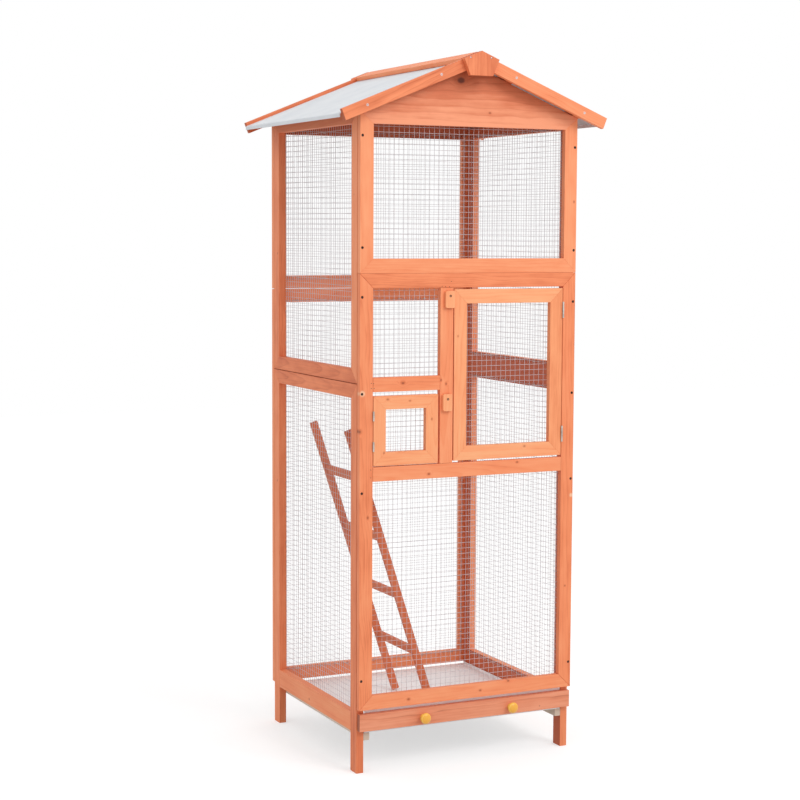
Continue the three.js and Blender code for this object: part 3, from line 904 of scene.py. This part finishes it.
def side_seams(node, key):
    """Cutters that open the joints of a side wall's board, on the wall's outer face."""
    side = node.split("_")[0]
    (u0, u1, v0, v1), (near, far) = extent(node, "yz")
    face, way = (near, 1) if side == "left" else (far, -1)
    depths = sorted((face - way * CUT_OVERRUN, face + way * SEAM_DEPTH))
    over = CUT_OVERRUN
    shapes = []
    if key == "l":
        foot = max(v0 - over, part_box("front_lower_stile_" + side)[0].z)
        shapes.append(rectangle(u0 - over, u0 + SEAM_WIDTH, foot, v1 + over))
    if key == "r":
        foot = max(v0 - over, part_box("back_lower_frame")[0].z)
        shapes.append(rectangle(u1 - SEAM_WIDTH, u1 + over, foot, v1 + over))
    if key != "t" and node.endswith("upper_frame"):
        shapes.append(rectangle(u0 - over, u1 + over, v0 - over, v0 + SEAM_WIDTH))
    return [prism(points, "yz", *depths) for points in shapes]


def gable_frame(side):
    """An upper front or back frame: three mitred boards and the gable board."""
    node = side + "_upper_frame"
    points, near, far = outline(node, "xz")
    (left, right, foot, apex), _ = extent(node, "xz")
    inner = opening_of(side + "_upper_net", "xz")
    piece = piece_for(node)
    wall = sorted(p[1] for p in points)[2]
    if side == "back":
        foot += BACK_GAP
    for key, shape in mitred((left, right, foot, wall), inner, "lrb").items():
        holes = screw_holes_in(side, shape) if key in "lr" else ()
        board(piece, node + key, shape, "xz", near, far, FRAME_WOOD, holes=holes, bevel=MITRE_BEVEL)
    g = JOINT_GAP
    shape = [(left + g, wall), (inner[0] + g, inner[3]), (inner[1] - g, inner[3]), (right - g, wall),
             (0, apex)]
    # The gable board: painted shade, darker towards the ridge
    board(piece, node + "gable", shape, "xz", near, far, WIDE_WOOD, along=X, bevel=MITRE_BEVEL,
          fade=GABLE_SHADE_FADE)
    piece.build()


def lower_side(side):
    """A lower side frame on its two legs, with a sill between them."""
    node = side + "_lower_frame"
    outer, depths = extent(node, "yz")
    a0, a1, b0, b1 = opening_of(side + "_lower_net", "yz")
    shapes = mitred(outer, (a0, a1, outer[2], b1), "lrt")
    shapes["b"] = rectangle(a0 + JOINT_GAP, a1 - JOINT_GAP, b0 - SILL_WIDTH, b0)
    piece = piece_for(node)
    for key, points in shapes.items():
        board(piece, node + key, points, "yz", *depths, FRAME_WOOD, holes=side_seams(node, key),
              bevel=MITRE_BEVEL)
    piece.build()


def wires(net, plane):
    """Welded wire net: one layer of wires along each way, each a thin closed tube."""
    (u0, u1, v0, v1), (near, far) = extent(net, plane)
    u, v, w = PLANES[plane]
    piece = Piece(net + "_wires", body_of(net), "net", [net])
    middle = (near + far) / 2
    draw = random.Random(net)
    edge = 2 * WIRE_RADIUS
    for axis, cross, low, high, start, end, depth in (
            (v, u, v0, v1, u0, u1, middle - WIRE_LAYER), (u, v, u0, u1, v0, v1, middle + WIRE_LAYER)):
        room = end - start - 2 * edge
        count = int(room / WIRE_PITCH)
        first = start + edge + (room - count * WIRE_PITCH) / 2
        for i in range(count + 1):
            place = first + i * WIRE_PITCH
            calm = min(1.0, (place - start) / WIRE_PITCH / 2, (end - place) / WIRE_PITCH / 2)
            bm = wire(axis, cross, w, low, high, place, depth, draw.uniform(0, 99), calm)
            piece.add(bm, NET_STEEL, smooth=True)
    piece.build()


def wire(axis, cross, w, low, high, place, depth, seed, calm):
    """One wire of a net, which wanders by itself and warps with its neighbours."""
    steps = max(2, round((high - low) / WIRE_STEP))
    spokes = circle(cross, w, WIRE_RADIUS, WIRE_SIDES)
    bm = bmesh.new()
    rings = []
    for i in range(steps + 1):
        along = low + (high - low) * i / steps
        wander = noise.noise(Vector((along * WANDER_RATE, seed, 0))) * WIRE_WANDER
        warp = noise.noise(Vector((along * WARP_RATE, place * WARP_RATE, WARP_SEED))) * NET_WARP * calm
        centre = axis * along + cross * (place + wander + warp) + w * depth
        rings.append([bm.verts.new(centre + spoke) for spoke in spokes])
    skin(bm, rings)
    bm.faces.new(rings[0])
    bm.faces.new(rings[-1])
    bmesh.ops.recalc_face_normals(bm, faces=bm.faces)
    return bm


def staples(net, plane):
    """Staples that hold a net to the inner side of its frame, along its four edges."""
    (u0, u1, v0, v1), (near, far) = extent(net, plane)
    depths = (far, far + STAPLE_HEIGHT) if far + near < 0 else (near - STAPLE_HEIGHT, near)
    piece = Piece(net + "_staples", body_of(net), "net")
    draw = random.Random(net + "staples")
    inset = NET_OVERLAP / 2
    for start, end, fixed, along_u in ((u0, u1, v0 + inset, True), (u0, u1, v1 - inset, True),
                                       (v0, v1, u0 + inset, False), (v0, v1, u1 - inset, False)):
        count = max(2, round((end - start) / STAPLE_PITCH))
        for i in range(count):
            place = start + (end - start) * (i + 0.5) / count
            place += draw.uniform(-STAPLE_WANDER, STAPLE_WANDER) * MM
            reach = (place - STAPLE_LENGTH / 2, place + STAPLE_LENGTH / 2)
            width = (fixed - STAPLE_WIDTH / 2, fixed + STAPLE_WIDTH / 2)
            points = rectangle(*reach, *width) if along_u else rectangle(*width, *reach)
            piece.add(softened(prism(points, plane, *depths), STAPLE_BEVEL, 1), HINGE_STEEL)
    piece.build()


def roof_sheet(side, sign):
    """A sheet on its slope, rounded over into a lip at the eave."""
    node = "roof_sheet_" + side
    corners = [vert.co for vert in frame["nodes"][node].data.vertices]
    near, far = min(c.y for c in corners), max(c.y for c in corners)
    flat = [(abs(c.x), c.z) for c in corners]
    ridge = min(p[0] for p in flat)
    eave = max(p[0] for p in flat)
    top_ridge = max(p[1] for p in flat if p[0] < ridge + MM)
    under_ridge = min(p[1] for p in flat if p[0] < ridge + MM)
    top_eave = max(p[1] for p in flat if p[0] > eave - 0.1 * MM)
    lip = min(p[1] for p in flat)
    slope = (top_ridge - top_eave) / (eave - ridge)
    angle = math.atan(slope)
    thick = (top_ridge - under_ridge) * math.cos(angle)
    turn = math.pi / 2 - angle
    # centre of the round: touches the slope and the lip's outer face
    cx = eave - EAVE_RADIUS
    cz = top_eave + slope * EAVE_RADIUS - EAVE_RADIUS / math.cos(angle)

    def arc(radius):
        angles = [angle + turn * i / EAVE_STEPS for i in range(EAVE_STEPS + 1)]
        return [(cx + radius * math.sin(at), cz + radius * math.cos(at)) for at in angles]

    points = [(ridge, top_ridge)] + arc(EAVE_RADIUS) + [(eave, lip), (eave - thick, lip)]
    points += arc(EAVE_RADIUS - thick)[::-1] + [(ridge, under_ridge)]
    piece = piece_for(node, "_skin")
    bm = prism([(sign * p[0], p[1]) for p in points], "xz", near, far)
    # Its faces that look down get the darker grey of painted shade
    piece.add(bm, ROOF_SHEET, under=ROOF_UNDERSIDE_SHADE)
    piece.build()


def knob(node):
    """A turned knob: a foot, a neck and a flat ball."""
    low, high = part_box(node)
    radius = (high.x - low.x) / 2
    length = high.y - low.y
    centre = Vector(((low.x + high.x) / 2, high.y, (low.z + high.z) / 2))
    neck = radius / 2
    ball = (length - KNOB_NECK) / KNOB_BALL
    profile = [(0, 0), (neck * 1.25, 0), (neck * 1.28, 1 * MM), (neck * 1.05, 2.4 * MM),
               (neck, 4.5 * MM), (neck * 1.08, 6.4 * MM)]
    start = -math.acos(neck * 1.15 / radius)
    for i in range(KNOB_STEPS):
        angle = start + (math.pi / 2 - start) * i / KNOB_STEPS
        profile.append((radius * math.cos(angle), length - ball + ball * math.sin(angle)))
    profile.append((0, length))
    bm = lathe(profile, centre, -Y, KNOB_SIDES)
    piece = piece_for(node)
    piece.add(bm, KNOB_WOOD, smooth=True, wood=Wood(node, -Y, X, Z, bm, knots=[]))
    piece.build()


def tray():
    """A folded sheet: the floor, two low lips and the high lip behind the drawer front."""
    low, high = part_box("tray")
    t = TRAY_SHEET
    floor, lip = low.z + t, low.z + TRAY_LIP
    piece = Piece("tray_sheet", body_of("tray"), "tray", ["tray"])
    for shape, far in ((rectangle(low.x, high.x, low.z, floor), high.y),
                       (rectangle(low.x, low.x + t, floor, lip), high.y),
                       (rectangle(high.x - t, high.x, floor, lip), high.y),
                       (rectangle(low.x + t, high.x - t, floor, high.z), low.y + t)):
        piece.add(softened(prism(shape, "xz", low.y, far), TRAY_BEVEL, 1), TRAY_STEEL)
    piece.build()


def hinge(node):
    """A butt hinge: two leaves, and knuckles that belong to each of them by turns."""
    low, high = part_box(node)
    radius = (high.x - low.x) / 2
    x, y = (low.x + high.x) / 2, low.y + radius
    length = high.z - low.z
    each = (length - KNUCKLE_GAP * (KNUCKLES - 1)) / KNUCKLES
    c = KNUCKLE_BEVEL
    profile = [(0, 0), (radius - c, 0), (radius, c), (radius, each - c), (radius - c, each), (0, each)]
    piece = Piece(node + "_steel", body_of(node), "hinge", [node])
    leaf = Piece(node.replace("hinge", "leaf"), body_of(node.split("_hinge")[0] + "_frame"), "hinge")
    for i in range(KNUCKLES):
        foot = Vector((x, y, low.z + i * (each + KNUCKLE_GAP)))
        (leaf if i % 2 else piece).add(lathe(profile, foot, Z, KNUCKLE_SIDES), HINGE_STEEL)
    out = 1 if x > 0 else -1
    for target, side in ((piece, out), (leaf, -out)):
        sides = sorted((x + side * LEAF_GAP, x + side * (LEAF_GAP + LEAF_THICK)))
        bm = prism(rectangle(*sides, low.z, high.z), "xz", y, high.y)
        target.add(softened(bm, LEAF_BEVEL, 1), HINGE_STEEL)
        for share in LEAF_SCREWS:
            place = Vector((x + side * LEAF_SCREW_GAP, (y + high.y) / 2, low.z + length * share))
            stamp(target, nail_head(LEAF_SCREW_RADIUS), place, -side * X, DARK_STEEL, smooth=True)
        target.build()


def build_model():
    for side, _ in HANDS:
        node = "front_lower_stile_" + side
        single_board(node, "xz", FRAME_WOOD, holes=screw_holes_in("front", outline(node, "xz")[0]))
    for node in ("front_lower_top_rail", "front_lower_bottom_rail", "front_mullion",
                 "front_window_rail", "front_door_sill_rail"):
        single_board(node, "xz", FRAME_WOOD)
    gable_frame("front")
    gable_frame("back")
    framed("back_lower_frame", "back_lower_net", "xz", FRAME_WOOD)
    for side, _ in HANDS:
        lower_side(side)
        framed(side + "_upper_frame", side + "_upper_net", "yz", FRAME_WOOD)
    for door in ("big_door", "small_door"):
        framed(door + "_frame", door + "_net", "xz", DOOR_WOOD)
        single_board(door + "_button", "xz", DOOR_WOOD, along=Z)
        hinge(door + "_hinge_upper")
        hinge(door + "_hinge_lower")
    for node in frame["nodes"]:
        if node.endswith("_net"):
            plane = "yz" if node.startswith(("left", "right")) else "xz"
            wires(node, plane)
            staples(node, plane)
    for side, sign in HANDS:
        roof_sheet(side, sign)
        for name in ("fascia_front_", "fascia_back_", "ridge_purlin_", "eave_purlin_", "ridge_board_"):
            single_board(name + side, "xz", FRAME_WOOD)
        single_board("runner_" + side, "xz", RAW_WOOD)
        knob("drawer_knob_" + side)
    for side in ("front", "back"):
        dents = [nail_dent(place, out) for place, out in keystone_nails(side)]
        single_board("keystone_" + side, "xz", FRAME_WOOD, along=Z, holes=dents)
    single_board("drawer_front", "xz", DRAWER_WOOD)
    tray()
    # The ladder within the cage gets painted shade, up to its own cap
    for rail in ("front", "rear"):
        single_board("ladder_rail_" + rail, "xz", FRAME_WOOD, most_inner=LADDER_INWARD_SHADE)
    for i in range(1, 5):
        single_board("ladder_rung_" + str(i), "xz", FRAME_WOOD, along=Y, most_inner=LADDER_INWARD_SHADE)
    fasteners()


def seen_plainly(t):
    """1 for what the camera, gloss and glass see, and 0 for the light on the object."""
    ray = t.node("LightPath").outputs
    return t.larger(ray["Is Camera Ray"], t.larger(ray["Is Glossy Ray"], ray["Is Transmission Ray"]))


def build_stage():
    """A floor that shows white and keeps the object's shadow."""
    mesh = bpy.data.meshes.new("floor")
    corners = rectangle(-FLOOR_REACH, FLOOR_REACH, -FLOOR_REACH, FLOOR_REACH)
    mesh.from_pydata([(x, y, 0) for x, y in corners], [], [(0, 1, 2, 3)])
    floor = add_object("floor", mesh)
    t = Tree(bpy.data.materials.new("floor"))
    t.set(Base_Color=(FLOOR_GREY, FLOOR_GREY, FLOOR_GREY, 1), Roughness=1.0, Specular_IOR_Level=0.0,
          Emission_Color=WHITE, Emission_Strength=t.times(seen_plainly(t), FLOOR_GLOW))
    mesh.materials.append(t.owner)


def build_light():
    """Plain white light from all sides, and one large soft lamp."""
    world = bpy.data.worlds.new("studio")
    bpy.context.scene.world = world
    t = Tree(world, "Background")
    t.set(Color=WHITE, Strength=t.smooth_step(seen_plainly(t), 0.0, 1.0, WORLD_LIGHT, 1.0))
    data = bpy.data.lights.new("key", "AREA")
    data.shape, data.size, data.energy = "SQUARE", KEY_SIZE, KEY_POWER
    lamp = add_object("key", data)
    lamp.location = KEY_PLACE
    lamp.rotation_euler = (Vector(KEY_TARGET) - Vector(KEY_PLACE)).to_track_quat("-Z", "Y").to_euler()


def build_camera():
    data = bpy.data.cameras.new("camera")
    data.lens, data.sensor_width = LENS, SENSOR
    camera = add_object("camera", data)
    level = (Matrix.Rotation(math.radians(CAMERA_ROLL), 3, "Y")
             @ Matrix.Rotation(math.radians(CAMERA_DROP), 3, "X")
             @ Matrix.Rotation(math.radians(CAMERA_TURN), 3, "Z"))
    turn = level.transposed() @ Matrix.Rotation(math.pi / 2, 3, "X")
    camera.matrix_world = Matrix.Translation(CAMERA_PLACE) @ turn.to_4x4()
    bpy.context.scene.camera = camera


bpy.context.scene.view_settings.view_transform = "Standard"
build_camera()
build_model()
build_stage()
build_light()
